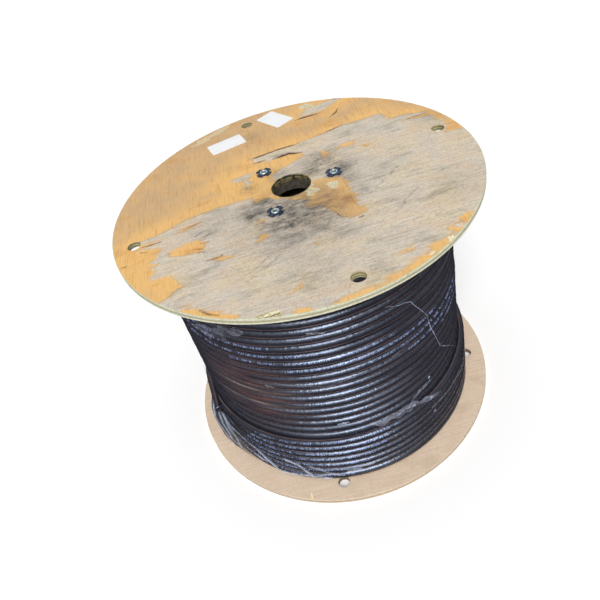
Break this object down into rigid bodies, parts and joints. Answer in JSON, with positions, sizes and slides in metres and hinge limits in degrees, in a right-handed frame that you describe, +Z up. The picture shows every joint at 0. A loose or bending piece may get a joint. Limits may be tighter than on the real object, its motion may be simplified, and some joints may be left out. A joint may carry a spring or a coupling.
{
  "type": "reel of coaxial cable",
  "caption": "Worn plywood reel standing on its lower flange, wound full of black coaxial cable under remnants of clear film, with tee nuts and blank paper labels on its upper flange.",
  "frame": {"origin": "centre of the lower flange's underside, on the reel's axis", "axes": "+Z up along the arbor axis, -Y towards the picture's camera"},
  "size_m": [0.3556, 0.3556, 0.2832],
  "materials": {
    "plywood": "worn plywood, its face veneer peeled in places",
    "drum_head_board": "raw board",
    "fibre_tube": "wound fibreboard",
    "zinc_steel": "dull zinc plate",
    "cable_jacket": "smooth black jacket",
    "clear_film": "clear stretch film, creased and torn",
    "label_paper": "blank sticker paper"
  },
  "bodies": {
    "root": {"upper_flange": "plywood", "lower_flange": "plywood", "upper_drum_head": "drum_head_board", "lower_drum_head": "drum_head_board", "barrel": "fibre_tube", "tie_bolt_1": "zinc_steel", "tie_bolt_2": "zinc_steel", "tie_bolt_3": "zinc_steel", "tee_nut_1": "zinc_steel", "tee_nut_2": "zinc_steel", "tee_nut_3": "zinc_steel", "cable_coil": "cable_jacket", "film_wrap": "clear_film", "paper_label_1": "label_paper", "paper_label_2": "label_paper"}
  },
  "joints": []
}
